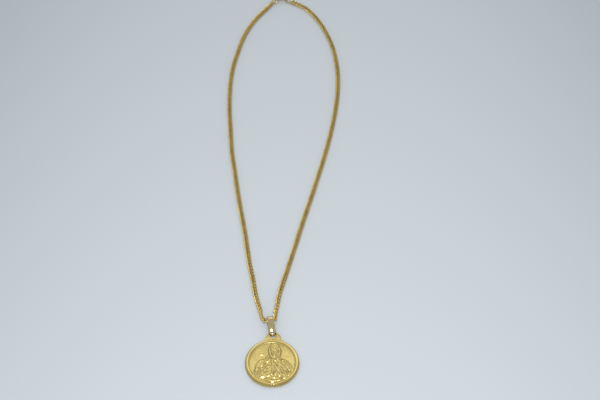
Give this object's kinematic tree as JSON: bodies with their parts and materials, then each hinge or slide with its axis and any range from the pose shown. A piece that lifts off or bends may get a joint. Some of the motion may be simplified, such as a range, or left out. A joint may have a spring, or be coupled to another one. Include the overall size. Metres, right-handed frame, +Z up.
{
  "type": "medal necklace",
  "caption": "Fine curb chain lying in a long loop, with a round cast relief medal on a ridged bail and a bolt ring clasp.",
  "frame": {"origin": "on the surface that the necklace lies on, under the middle of its bounding box", "axes": "+Z up from the surface, +Y along the loop from the medal towards the clasp, +X to the right seen from above with the medal nearest"},
  "size_m": [0.0585, 0.2479, 0.0044],
  "materials": {
    "medal_gold": "satin cast yellow gold with bright cuts",
    "bail_gold": "polished pale yellow gold",
    "chain_gold": "polished yellow gold wire"
  },
  "bodies": {
    "root": {"medal": "medal_gold", "bail": "bail_gold", "chain": "chain_gold", "clasp": "bail_gold", "jump_ring": "bail_gold", "end_ring": "bail_gold"}
  },
  "joints": []
}
